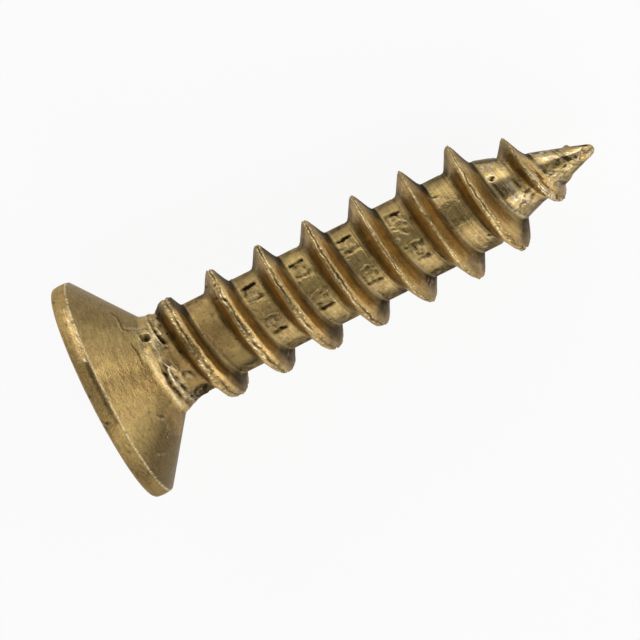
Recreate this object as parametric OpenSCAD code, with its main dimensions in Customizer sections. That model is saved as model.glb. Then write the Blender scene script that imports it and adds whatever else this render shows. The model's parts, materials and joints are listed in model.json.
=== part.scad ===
// Countersunk self-tapping screw with a cross recess: one piece, cold-forged and thread-rolled.
// The screw is drawn along its own axis, from the flat of the head at 0 to the point, and is then
// laid on its side as it comes to rest, on the rim of the head and on one crest of the thread.
// The row's origin is under the middle of the screw, on the surface that it lies on.

/* [Overall] */
// Length from the flat of the head to the point
overall_length = 15.93; // [13:0.1:30]
// Straight facets in one turn of the shank and thread
thread_facets = 40; // [32:4:60]

/* [Head] */
// Diameter of the head
head_d = 6.75; // [5.6:0.05:8.5]
// Height of the upright band around the head
rim_height = 0.5; // [0.3:0.05:0.8]
// Radius on the edge of the flat
edge_radius = 0.12; // [0.05:0.01:0.2]
// Angle across the countersunk underside
countersink_angle = 105.4; // [90:0.2:115]
// How much wider than the shank the neck is, where the underside ends
neck_flare = 0.53; // [0.2:0.01:0.8]
// Length of the tapered neck
neck_length = 0.66; // [0.4:0.02:1.2]

/* [Recess] */
// Distance across two opposite wings at the mouth
recess_span = 3.92; // [3.2:0.02:4.8]
// Distance across the star at the foot of the wings
recess_foot = 2; // [1.6:0.05:2.4]
// Width of a wing at the mouth
wing_width = 0.92; // [0.7:0.02:1.2]
// Width of a wing at its foot
wing_foot_width = 0.8; // [0.6:0.02:1]
// Radius on the corners between the wings
corner_radius = 0.58; // [0.3:0.02:0.8]
// Depth of the wings
wing_depth = 1.65; // [1.2:0.05:1.8]
// Depth of the hollow point below the wings
recess_point = 0.38; // [0.2:0.02:0.6]
// Width of the bevel around the mouth
mouth_bevel = 0.1; // [0.04:0.01:0.15]

/* [Shank and point] */
// Diameter of the shank between the threads
core_d = 2.59; // [2.1:0.01:3.2]
// Angle across the point
point_angle = 36.6; // [30:0.2:60]
// Diameter of the blunt end of the point
tip_d = 0.2; // [0.1:0.02:0.3]

/* [Thread] */
// Distance from one turn to the next
pitch = 1.558; // [1.3:0.001:2]
// Diameter over the crests, where the point begins
major_d = 3.86; // [3.2:0.02:4.8]
// Fall of the crest towards the head, in each millimetre of length
crest_fall = 0.0125; // [0:0.0005:0.02]
// Angle between the two flanks
thread_angle = 60; // [50:1:66]
// Width of the flat on the crest
crest_width = 0.1; // [0.04:0.01:0.2]
// Reach of the blend between flank and shank
root_blend = 0.09; // [0.04:0.01:0.12]
// Distance from the start of the neck to the first crest, on the side that the screw lies on
first_crest = 0.53; // [0.4:0.01:1.2]
// Distance from the end of the neck back to where the thread starts to rise
run_in_lead = 0.3; // [0.1:0.01:0.5]
// Length over which the thread rises to full height
run_in = 1.15; // [0.6:0.05:2]
// Distance from the tip to where the thread has died out
run_out_end = 0.7; // [0.4:0.05:1.5]
// Length over which the thread dies out
run_out = 1.7; // [1:0.05:3]

/* [Hidden] */
$fn = 96;
screw_colour = "#8a7545";

head_r = head_d / 2;
core_r = core_d / 2;
neck_r = core_r + neck_flare / 2;
tip_r = tip_d / 2;
// Depth at which the underside meets the neck, and the neck meets the shank
neck_z = rim_height + (head_r - neck_r) / tan(countersink_angle / 2);
shank_z = neck_z + neck_length;
// Depth at which the shank starts to taper to the point
point_z = overall_length - (core_r - tip_r) / tan(point_angle / 2);
// The neck's taper goes on inside the shank, so that the two surfaces cross cleanly
neck_sink = 0.06;
neck_slope = (neck_r - core_r) / neck_length;
// The shank starts inside the neck
shank_start = neck_z + neck_length / 4;
// A cutting tool reaches past the surface that it opens
overcut = 0.5;

// --- Thread form ---------------------------------------------------------------------------
flank_slope = tan(thread_angle / 2);
crest_zero = neck_z + first_crest;
thread_height = major_d / 2 - core_r;

function within(x, low, high) = min(max(x, low), high);
function body_r(z) = z < point_z ? core_r : core_r - (z - point_z) * tan(point_angle / 2);
// Share of the full height that the thread has where its crest is at z
function rise(z) =
    sin(90 * within((z - shank_z + run_in_lead) / run_in, 0, 1))
    * within((overall_length - run_out_end - z) / run_out, 0, 1);
function full_height(z) = thread_height - crest_fall * max(0, point_z - z);

// Each turn has seven rows of points, from the middle of the land over the ridge to the next
// land. A row gives its distance from the crest and its height above the shank. A ridge that
// hasn't its full height keeps its flanks and has a wider flat.
ROWS = 7;
unfilled_share = 0.8;
function ridge(z) =
    let (
        full = full_height(z),
        share = rise(z),
        crest = crest_width / 2 + unfilled_share * full * (1 - share) * flank_slope,
        foot = crest_width / 2 + full * flank_slope,
        inner = foot - share * root_blend * sin(thread_angle / 2),
        inner_height = share * root_blend * cos(thread_angle / 2)
    )
    [
        [-pitch / 2, 0], [-foot - root_blend, 0], [-inner, inner_height],
        [-crest, share * full], [crest, share * full],
        [inner, inner_height], [foot + root_blend, 0]
    ];

// The crest that the screw lies on is the one that needs the least tilt
first_turn = -2;
last_turn = ceil((overall_length - crest_zero) / pitch) + 1;
function crest_r(z) = body_r(z) + rise(z) * full_height(z);
rest_tilt = min([
    for (turn = [1 : last_turn])
        let (z = crest_zero + turn * pitch)
        if (z < overall_length - run_out_end)
            atan2(head_r - crest_r(z), z + crest_width / 2 - rim_height)
]);

// --- Shank and thread, as one surface whose rows follow the helix ---------------------------
column_count = thread_facets;
row_count = (last_turn - first_turn + 1) * ROWS;

function raw_z(column, row) =
    let (z = crest_zero + pitch * (first_turn + floor(row / ROWS) + column / column_count))
    z + ridge(z)[row % ROWS][0];
function raw_r(column, row) =
    let (z = crest_zero + pitch * (first_turn + floor(row / ROWS) + column / column_count))
    body_r(raw_z(column, row)) + ridge(z)[row % ROWS][1];
function surface_point(column, row) =
    let (
        z = raw_z(column, row),
        r = z <= shank_start ? core_r : z >= overall_length ? tip_r : raw_r(column, row),
        angle = 360 * column / column_count
    )
    [r * cos(angle), r * sin(angle), within(z, shank_start, overall_length)];

// Rows before the start and past the tip fall together on the two end rings
start_row = [for (column = [0 : column_count - 1])
    max([for (row = [0 : row_count - 1]) if (raw_z(column, row) <= shank_start) row])];
end_row = [for (column = [0 : column_count - 1])
    min([for (row = [0 : row_count - 1]) if (raw_z(column, row) >= overall_length) row])];

// After one turn the surface meets itself one turn further on
function point_index(column, row) =
    column == column_count
    ? point_index(0, row + ROWS)
    : column * row_count + within(row, start_row[column], end_row[column]);

module threaded_shank() {
    points = [for (column = [0 : column_count - 1], row = [0 : row_count - 1])
        surface_point(column, row)];
    sides = [for (column = [0 : column_count - 1], row = [0 : row_count - 2])
        let (
            a = point_index(column, row),
            b = point_index(column + 1, row),
            c = point_index(column + 1, row + 1),
            d = point_index(column, row + 1)
        )
        for (face = [[a, c, b], [a, d, c]])
            if (face[0] != face[1] && face[1] != face[2] && face[2] != face[0]) face];
    start_cap = [for (column = [0 : column_count - 1]) point_index(column, 0)];
    end_cap = [for (column = [column_count - 1 : -1 : 0]) point_index(column, row_count - 1)];
    polyhedron(points, concat(sides, [start_cap, end_cap]));
}

// --- Head ----------------------------------------------------------------------------------
module head_blank() {
    rotate_extrude() {
        polygon([
            [0, 0],
            [head_r - edge_radius, 0],
            [head_r, edge_radius],
            [head_r, rim_height],
            [neck_r, neck_z],
            [core_r - neck_slope * neck_sink, shank_z + neck_sink],
            [0, shank_z + neck_sink]
        ]);
        translate([head_r - edge_radius, edge_radius]) circle(edge_radius);
    }
}

// A block with a rectangular mouth [x, y] at z = 0 and a rectangular foot at z = depth
module tapered_block(mouth, foot, depth) {
    corners = [for (size_z = [[mouth, 0], [foot, depth]], turn = [[1, 1], [-1, 1], [-1, -1], [1, -1]])
        [size_z[0][0] / 2 * turn[0], size_z[0][1] / 2 * turn[1], size_z[1]]];
    polyhedron(corners, [
        [0, 1, 2, 3], [7, 6, 5, 4],
        [0, 4, 5, 1], [1, 5, 6, 2], [2, 6, 7, 3], [3, 7, 4, 0]
    ]);
}

// The middle of the cross, whose corners between the wings are rounded
module star_outline() {
    reach = wing_foot_width / 2 + corner_radius;
    difference() {
        square(2 * reach, center = true);
        for (x = [-reach, reach], y = [-reach, reach])
            translate([x, y]) circle(corner_radius);
    }
}

module cross_recess() {
    // Growth of a wing's mouth for each millimetre that the tool stands above the flat
    end_growth = (recess_span - recess_foot) / wing_depth;
    side_growth = (wing_width - wing_foot_width) / wing_depth;
    for (turn = [0, 90]) rotate([0, 0, turn]) {
        translate([0, 0, -overcut])
            tapered_block(
                [recess_span + end_growth * overcut, wing_width + side_growth * overcut],
                [recess_foot, wing_foot_width],
                wing_depth + overcut
            );
        // The bevel around the mouth
        translate([0, 0, -mouth_bevel])
            tapered_block(
                [recess_span + 4 * mouth_bevel, wing_width + 4 * mouth_bevel],
                [recess_span, wing_width],
                2 * mouth_bevel
            );
    }
    translate([0, 0, -overcut])
        linear_extrude(wing_depth + overcut) star_outline();
    translate([0, 0, wing_depth - recess_point])
        cylinder(h = 2 * recess_point, r1 = recess_foot / 2, r2 = 0);
}

// --- The screw along its own axis -----------------------------------------------------------
module screw_on_axis() {
    difference() {
        union() {
            head_blank();
            threaded_shank();
        }
        cross_recess();
    }
}

// Lays the axis down towards +X, sloping to the point by the rest tilt, and brings the lowest
// point to z = 0 and the middle of the length and width over the origin
lowest = head_r * cos(rest_tilt) + rim_height * sin(rest_tilt);
rear = edge_radius * (1 - cos(rest_tilt)) + (head_r - edge_radius) * sin(rest_tilt);
front = overall_length * cos(rest_tilt) + tip_r * sin(rest_tilt);

module screw() {
    color(screw_colour)
        translate([(rear - front) / 2, 0, lowest])
            rotate([0, 90 + rest_tilt, 0])
                screw_on_axis();
}

screw();
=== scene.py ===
"""Looks of a countersunk self-tapping screw in antique brass plating.

The screw is one closed piece. It is laid out on its own axis in millimetres, from the flat of the
head at 0 to the point at 15.93, with the angle round the axis counted from the side that it lies on:
0 is underneath, 180 on top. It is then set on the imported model's head_face mount.
"""

import itertools
import json
import logging
import math
from dataclasses import dataclass, field
from enum import IntEnum
from functools import partial

import bpy
import numpy as np
from mathutils import Matrix, Vector


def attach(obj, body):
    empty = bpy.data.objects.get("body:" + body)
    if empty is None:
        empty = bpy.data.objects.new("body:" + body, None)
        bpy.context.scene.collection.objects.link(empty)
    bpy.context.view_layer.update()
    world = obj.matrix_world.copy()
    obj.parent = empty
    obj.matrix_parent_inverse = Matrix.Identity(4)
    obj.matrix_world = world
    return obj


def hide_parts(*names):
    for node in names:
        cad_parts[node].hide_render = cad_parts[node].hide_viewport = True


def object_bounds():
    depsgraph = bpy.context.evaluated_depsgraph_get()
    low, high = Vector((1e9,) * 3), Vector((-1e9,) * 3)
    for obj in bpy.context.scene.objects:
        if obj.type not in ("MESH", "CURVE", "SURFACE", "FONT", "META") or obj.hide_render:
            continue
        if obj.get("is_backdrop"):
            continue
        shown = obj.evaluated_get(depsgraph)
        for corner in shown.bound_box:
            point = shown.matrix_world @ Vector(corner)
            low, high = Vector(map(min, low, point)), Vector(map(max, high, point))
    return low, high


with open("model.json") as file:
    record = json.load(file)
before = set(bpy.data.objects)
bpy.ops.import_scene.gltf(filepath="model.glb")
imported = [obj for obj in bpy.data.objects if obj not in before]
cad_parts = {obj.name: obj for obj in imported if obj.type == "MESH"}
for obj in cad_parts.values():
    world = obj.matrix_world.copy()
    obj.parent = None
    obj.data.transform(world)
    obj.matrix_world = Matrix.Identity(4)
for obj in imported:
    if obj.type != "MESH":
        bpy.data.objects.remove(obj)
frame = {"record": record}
cad_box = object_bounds()

LOG = logging.getLogger("screw")
MM = 0.001
# Points in one ring round the axis, a multiple of four for the four wings of the recess
COLUMNS = 208
ANGLES = np.arange(COLUMNS) * 360 / COLUMNS
# Distance from one turn of the thread to the next
PITCH = 1.558
# What stands for the distance from the crest where there is no thread
NO_CREST = 9.0
# Distances from the crest over which a mark that lies only on the lands comes in
LAND_EDGE = (0.42, 0.5)
# Places across the crest, from its seam at 0 to the edge of a lip at 1
CREST_STEPS = (0, 0.2, 0.42, 0.7, 1)
# Width of a tool mark beside its length
MARK_WIDTH = 0.05


class Zone(IntEnum):
    """The parts of the surface that take a different finish."""

    RECESS = 0
    FACE = 1
    RIM = 2
    CONE = 3
    THREAD = 4
    POINT = 5


class Side(IntEnum):
    """The edge of a die mark that was pressed deepest."""

    EARLIER = -1
    LATER = 1


# --- Small helpers -------------------------------------------------------------------------------
def linear(colour: str) -> tuple[float, float, float, float]:
    """Turns an sRGB hex colour into linear RGBA.

    Args:
        colour: Six hex digits after a hash sign.

    Returns:
        The linear red, green and blue, and an alpha of 1.
    """
    parts = [int(colour[i : i + 2], 16) / 255 for i in (1, 3, 5)]
    red, green, blue = [c / 12.92 if c <= 0.04045 else ((c + 0.055) / 1.055) ** 2.4 for c in parts]
    return red, green, blue, 1.0


def ease(low: float, high: float, value: np.ndarray) -> np.ndarray:
    """Rises smoothly from 0 where the value is low to 1 where it is high, or falls if low > high."""
    share = np.clip((value - low) / (high - low), 0, 1)
    return share * share * (3 - 2 * share)


def blend_max(first: np.ndarray, second: np.ndarray, reach: float) -> np.ndarray:
    """The larger of two heights, with a fillet where they come within reach of each other."""
    near = np.clip(reach - np.abs(first - second), 0, None) / reach
    return np.maximum(first, second) + near * near * reach / 4


def turn_apart(angles: np.ndarray, centre: float) -> np.ndarray:
    """The signed degrees from centre to each angle, the short way round."""
    return (angles - centre + 180) % 360 - 180


class Unevenness:
    """Seeded gradient noise, for the unevenness that a die and a tumbling barrel leave."""

    # Gradients in the table, what brings the noise to about -1 to 1, and the shift between layers
    TABLE = 256
    GAIN = 1.7
    SHIFT = 17

    def __init__(self, seed: int) -> None:
        """Draws the noise's gradients.

        Args:
            seed: The seed that they are drawn from.
        """
        draw = np.random.default_rng(seed)
        self.order = np.tile(draw.permutation(self.TABLE), 3)
        gradients = draw.normal(size=(self.TABLE, 3))
        self.gradients = gradients / np.linalg.norm(gradients, axis=1)[:, None]

    def at(self, points: np.ndarray) -> np.ndarray:
        """Reads the noise.

        Args:
            points: Rows of x, y and z, with one wave for each unit.

        Returns:
            About -1 to 1 for each point.
        """
        cell = np.floor(points).astype(int)
        part = points - cell
        fade = part**3 * (part * (part * 6 - 15) + 10)
        total = np.zeros(len(points))
        for corner in itertools.product((0, 1), repeat=3):
            a, b, c = ((cell + corner) % self.TABLE).T
            gradient = self.gradients[self.order[self.order[self.order[a] + b] + c]]
            weight = np.prod(np.where(corner, fade, 1 - fade), axis=1)
            total += weight * ((part - corner) * gradient).sum(1)
        return total * self.GAIN

    def layered(self, points: np.ndarray, layers: int = 3) -> np.ndarray:
        """Adds finer layers to the noise, each half the size and strength of the last."""
        return sum(self.at(points * 2**k + self.SHIFT * k) / 2**k for k in range(layers))


# --- The surface ---------------------------------------------------------------------------------
# Marks for crevices, wear, bare plating, tone and brown; several also carry painted shade, painted
# highlights and a painted grey reflection
MARKS = ("crevice", "worn", "bare", "matt", "tone", "brown")


@dataclass
class Skin:
    """The screw's surface: its points, its faces, and what has happened to each point.

    Each mark is one number for a point. The crevice mark is dirt and oxide in a hollow, and in
    places painted shade; the worn mark is plating polished bright on an edge, and in places a
    painted highlight; the bare mark is grey where the plating is thin, and on the sides a painted
    grey reflection; matt is roughness from the die; tone is lighter or darker plating, and in
    places painted light and shade; brown is the deeper colour between the threads, and on the
    cone's sides painted shade; and lift is how far the point moves outwards. crest is the distance
    along the axis from the crest, and seam is 1 in the bottom of the seam along the crest, -1 on
    the lips beside it and 0 elsewhere. across is 1 on one side of the screw, 0 on its top and -1
    on its other side.
    """

    rings: list[tuple[np.ndarray, ...]] = field(default_factory=list)
    grids: list[np.ndarray] = field(default_factory=list)
    count: int = 0
    place: np.ndarray = field(init=False)
    weave: np.ndarray = field(init=False)
    angle: np.ndarray = field(init=False)
    crest: np.ndarray = field(init=False)
    seam: np.ndarray = field(init=False)
    zone: np.ndarray = field(init=False)
    radius: np.ndarray = field(init=False)
    depth: np.ndarray = field(init=False)
    across: np.ndarray = field(init=False)
    mark: dict[str, np.ndarray] = field(init=False)

    def add(self, zone: Zone | np.ndarray, place: np.ndarray, weave: np.ndarray,
            angle: np.ndarray, crest: np.ndarray | None = None,
            seam: np.ndarray | None = None) -> np.ndarray:
        """Adds rings of points.

        Args:
            zone: The part of the surface that they belong to, or that each belongs to.
            place: x, y and z of each point, with the coordinates last.
            weave: Like place, but constant along the marks that the tools leave.
            angle: The angle of each point round the axis.
            crest: The distance along the axis from the nearest crest, where there is a thread.
            seam: Where the point lies on the crest's seam, where there is a thread.

        Returns:
            The index of each point, in the shape of angle.
        """
        index = self.count + np.arange(angle.size).reshape(angle.shape)
        self.count += angle.size
        crest = np.full(angle.size, NO_CREST) if crest is None else crest
        seam = np.zeros(angle.size) if seam is None else seam
        self.rings.append((place.reshape(-1, 3), weave.reshape(-1, 3), angle.ravel(),
                           crest.ravel(), seam.ravel(), np.broadcast_to(zone, angle.size)))
        return index

    def add_rings(self, zone: Zone, x: np.ndarray, y: np.ndarray, z: np.ndarray,
                  run: np.ndarray, slow: float = MARK_WIDTH) -> np.ndarray:
        """Adds plain rings, whose tool marks run round the axis.

        Args:
            zone: The part of the surface that they belong to.
            x: One row for each ring and one column for each angle.
            y: Like x.
            z: Like x.
            run: The distance of each ring along the outline.
            slow: How wide the tool marks are beside their length.

        Returns:
            The index of each point.
        """
        angle = np.broadcast_to(ANGLES, x.shape)
        weave = np.stack([np.broadcast_to(run[:, None], x.shape), slow * x, slow * y], axis=-1)
        return self.add(zone, np.stack([x, y, z], axis=-1), weave, angle)

    def close(self) -> None:
        """Joins the rings into arrays and clears the marks, once every ring is there."""
        joined = [np.concatenate(column) for column in zip(*self.rings)]
        self.place, self.weave, self.angle, self.crest, self.seam, self.zone = joined
        self.radius = np.hypot(self.place[:, 0], self.place[:, 1])
        self.depth = self.place[:, 2]
        self.across = np.sin(np.radians(self.angle))
        self.mark = {name: np.zeros(self.count) for name in (*MARKS, "lift")}

    def stain(self, where: np.ndarray | slice = slice(None), **amounts: np.ndarray) -> None:
        """Adds the amounts to the marks of the points at these indices, or of all."""
        for name, amount in amounts.items():
            self.mark[name][where] += amount

    def bridge(self, grid: np.ndarray) -> None:
        """Joins rows of point indices with faces; the first column comes again at the end."""
        self.grids.append(grid)

    def faces(self) -> tuple[np.ndarray, np.ndarray]:
        """The faces between all the rows.

        Returns:
            The four-sided faces and the three-sided ones, as rows of point indices.
        """
        quads = np.concatenate([
            np.stack([g[:-1, :-1], g[:-1, 1:], g[1:, 1:], g[1:, :-1]], axis=-1).reshape(-1, 4)
            for g in self.grids
        ])
        same = quads == np.roll(quads, -1, axis=1)
        pinched = quads[same.sum(1) == 1]
        corner = same[same.sum(1) == 1].argmax(1)
        keep = np.array([[k for k in range(4) if k != c] for c in range(4)])[corner]
        return quads[~same.any(1)], np.take_along_axis(pinched, keep, axis=1)

    def normals(self) -> np.ndarray:
        """Finds the outward direction at each point.

        Returns:
            Rows of unit length.
        """
        total = np.zeros((self.count, 3))
        for faces in self.faces():
            p = self.place[faces]
            cross = np.cross(p[:, 2] - p[:, 0], p[:, -1] - p[:, 1])
            for corner in range(faces.shape[1]):
                np.add.at(total, faces[:, corner], cross)
        return total / np.maximum(np.linalg.norm(total, axis=1), 1e-12)[:, None]

    def spot(self, angle: float, depth: float) -> np.ndarray:
        """Finds a point of the outer surface.

        Args:
            angle: Degrees round the axis.
            depth: Distance from the flat of the head.

        Returns:
            Its x, y and z.
        """
        outer = self.zone >= Zone.RIM
        gap = np.hypot(np.radians(turn_apart(self.angle, angle)) * self.radius,
                       self.depth - depth)
        radius = self.radius[np.where(outer, gap, np.inf).argmin()]
        turn = math.radians(angle)
        return np.array([radius * math.cos(turn), radius * math.sin(turn), depth])

    def near(self, points: np.ndarray, reach: float) -> tuple[np.ndarray, np.ndarray, np.ndarray]:
        """Finds the surface points near a chain of points.

        Args:
            points: The chain, as rows of x, y and z.
            reach: How far to look.

        Returns:
            Which surface points are near, how far each is, and which chain point is nearest it.
        """
        low = points.min(0) - reach
        high = points.max(0) + reach
        inside = ((self.place > low) & (self.place < high)).all(1)
        which = np.flatnonzero(inside & (self.zone >= Zone.RIM))
        if not len(which):
            return which, np.zeros(0), which
        gaps = np.linalg.norm(self.place[which][:, None] - points[None], axis=2)
        nearest = gaps.argmin(1)
        distance = gaps[np.arange(len(which)), nearest]
        close = distance < reach
        return which[close], distance[close], nearest[close]

    def settle(self) -> None:
        """Moves each point along its normal by its lift."""
        self.place = self.place + self.normals() * self.mark["lift"][:, None]


def closed(rows: np.ndarray) -> np.ndarray:
    """Repeats the first column of a grid of plain rings at its end."""
    return np.concatenate([rows, rows[:, :1]], axis=1)


# --- Head ----------------------------------------------------------------------------------------
@dataclass(frozen=True)
class CrossRecess:
    """The cross recess, punched cold: steep walls, a bevel at the mouth and a star-shaped foot."""

    span: float = 3.92
    foot_span: float = 2.0
    width: float = 0.92
    foot_width: float = 0.8
    corner: float = 0.58
    foot_corner: float = 0.55
    wing_depth: float = 1.65
    point_depth: float = 2.03
    bevel: float = 0.1
    # How uneven the punched foot is, how large its lumps are, and its blend into the hollow point
    foot_lumps: float = 0.04
    lump_size: float = 1 / 3.2
    foot_blend: float = 0.25

    def outline(self, down: float, out: float = 0.0) -> np.ndarray:
        """One ring of the cross, with the same share of points in each wing.

        Args:
            down: The share of the way from the mouth to the foot of the wings.
            out: How far the ring is moved out from the wall.

        Returns:
            x and y for each column.
        """
        half_span = (self.span + (self.foot_span - self.span) * down) / 2 + out
        half_width = (self.width + (self.foot_width - self.width) * down) / 2 + out
        radius = self.corner + (self.foot_corner - self.corner) * down - out
        centre = half_width + radius
        turned, straight, end = 5, 13, 8
        arc = np.radians(np.linspace(135, 90, turned, endpoint=False))
        bend = [(centre + radius * math.cos(a), -centre + radius * math.sin(a)) for a in arc]
        side = [(x, -half_width) for x in np.linspace(centre, half_span, straight, endpoint=False)]
        tip = [(half_span, y) for y in np.linspace(-half_width, 0, end, endpoint=False)]
        half = np.array(bend + side + tip)
        far = np.concatenate([[(half_span, 0)], half[:0:-1] * (1, -1)])
        wing = np.concatenate([half, far])
        turns = [np.radians(90 * k) for k in range(4)]
        rings = [wing @ np.array([[np.cos(t), np.sin(t)], [-np.sin(t), np.cos(t)]]) for t in turns]
        return np.roll(np.concatenate(rings), -COLUMNS // 8, axis=0)

    def build(self, skin: Skin, ripple: Unevenness) -> np.ndarray:
        """Adds the recess, from the bottom of the hollow point to the mouth.

        Args:
            skin: The surface that it is added to.
            ripple: The unevenness of the punched foot.

        Returns:
            The last ring's indices, at the mouth.
        """
        rings = [(self.outline(1) * f, self.wing_depth)
                 for f in (0.001, 0.15, 0.3, 0.45, 0.6, 0.75, 0.88, 0.96, 1)]
        wall = (0.97, 0.9, 0.8, 0.68, 0.55, 0.42, 0.3, 0.2, 0.12, 0.06)
        rings += [(self.outline(t), t * self.wing_depth) for t in wall]
        soft = (0.9, 0.62, 0.3, 0.08, 0)
        rings += [(self.outline(0, (1 - t) * self.bevel), t * self.bevel) for t in soft]
        x, y = np.array([ring for ring, _ in rings]).transpose(2, 0, 1)
        z = np.array([np.full(COLUMNS, depth) for _, depth in rings])
        ring_gap, level = 0.1, 0.02
        foot = z > self.wing_depth - level
        points = np.stack([x, y, z], axis=-1).reshape(-1, 3) / self.lump_size
        hollow = self.point_depth - self.wing_depth
        cone = hollow * (1 - 2 * np.hypot(x, y) / (self.foot_span / 2))
        z = z + foot * (self.foot_lumps * ripple.layered(points)).reshape(z.shape)
        z = z + foot * blend_max(cone, np.zeros_like(cone), self.foot_blend)
        index = skin.add_rings(Zone.RECESS, x, y, z, np.arange(len(rings)) * ring_gap)
        skin.bridge(closed(index))
        centre = np.full((1, COLUMNS), index[0, 0])
        skin.bridge(closed(np.concatenate([centre, index[:1]])))
        return index[-1]


@dataclass(frozen=True)
class Head:
    """The cold-forged head: a flat face with a turned-over edge, an upright rim and the cone."""

    radius: float = 3.375
    edge: float = 0.12
    rim: float = 0.5
    rub: float = 0.09
    cone_angle: float = 105.4
    neck_radius: float = 1.56
    recess: CrossRecess = CrossRecess()

    @property
    def neck_depth(self) -> float:
        """The depth at which the cone meets the neck."""
        return self.rim + (self.radius - self.neck_radius) / math.tan(
            math.radians(self.cone_angle / 2))

    def build(self, skin: Skin, ripple: Unevenness) -> np.ndarray:
        """Adds the head, from the recess to the end of the cone.

        Args:
            skin: The surface that it is added to.
            ripple: The unevenness of the forged face.

        Returns:
            The last ring's indices.
        """
        mouth = self.recess.build(skin, ripple)
        face = self.add_face(skin)
        side = self.add_side(skin)
        skin.bridge(closed(np.stack([mouth, face[0]])))
        skin.bridge(closed(face))
        skin.bridge(closed(np.stack([face[-1], side[0]])))
        skin.bridge(closed(side))
        return side[-1]

    def add_face(self, skin: Skin) -> np.ndarray:
        """Adds the flat face, whose rings change from the cross to a circle.

        Args:
            skin: The surface that it is added to.

        Returns:
            The rings' indices.
        """
        # A shallow step runs round just inside the turned-over edge
        steps = ((0.03, 0.012), (0.05, 0.016), (0.07, 0.004), (0.09, 0))
        inner = self.recess.outline(0, self.recess.bevel)
        reach = self.radius - self.edge - steps[-1][0]
        turn = np.radians(ANGLES)
        outer = reach * np.stack([np.cos(turn), np.sin(turn)], axis=1)
        shares = np.array([0.015, 0.06, 0.13, 0.21, 0.3, 0.4, 0.5, 0.6, 0.7, 0.8, 0.88, 0.95, 1])
        flat = inner + shares[:, None, None] * (outer - inner)
        lip = [outer * (reach + out) / reach for out, _ in steps]
        x, y = np.concatenate([flat, lip]).transpose(2, 0, 1)
        depth = np.concatenate([np.zeros(len(shares)), [down for _, down in steps]])
        z = np.broadcast_to(depth[:, None], x.shape)
        place = np.stack([x, y, z], axis=-1)
        return skin.add(Zone.FACE, place, place, np.broadcast_to(ANGLES, x.shape))

    def add_side(self, skin: Skin) -> np.ndarray:
        """Adds the rounded edge, the rim and the cone as turned rings.

        Args:
            skin: The surface that it is added to.

        Returns:
            The rings' indices.
        """
        bend = np.radians(np.linspace(18, 90, 5))
        line = [(self.radius - self.edge * (1 - math.sin(a)), self.edge * (1 - math.cos(a)))
                for a in bend]
        # The rim is slightly crowned, as far as the edge that is rubbed round
        crown, rub_start = 0.012, 0.84
        for share in np.linspace(0.12, rub_start, 9):
            line.append((self.radius + crown * math.sin(share * math.pi / rub_start),
                         self.edge + (self.rim - self.edge) * share))
        # The edge between rim and cone is rubbed round
        lean = math.radians(90 - self.cone_angle / 2)
        reach = self.rub * math.tan((math.pi / 2 - lean) / 2)
        for turn in np.linspace(0, math.pi / 2 - lean, 4):
            line.append((self.radius - self.rub * (1 - math.cos(turn)),
                         self.rim - reach + self.rub * math.sin(turn)))
        fall = self.radius - self.neck_radius
        drop = self.neck_depth - self.rim
        for share in np.linspace(2 * reach * math.cos(lean) / fall, 0.995, 43):
            line.append((self.radius - fall * share, self.rim + drop * share))
        radius, depth = np.array(line).T
        run = np.concatenate([[0], np.cumsum(np.hypot(np.diff(radius), np.diff(depth)))])
        turn = np.radians(ANGLES)
        x = radius[:, None] * np.cos(turn)
        y = radius[:, None] * np.sin(turn)
        z = np.broadcast_to(depth[:, None], x.shape)
        rim_rows = int((depth < self.rim).sum())
        first = skin.add_rings(Zone.RIM, x[:rim_rows], y[:rim_rows], z[:rim_rows], run[:rim_rows])
        rest = skin.add_rings(Zone.CONE, x[rim_rows:], y[rim_rows:], z[rim_rows:], run[rim_rows:],
                              slow=0.2)
        return np.concatenate([first, rest])


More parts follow.
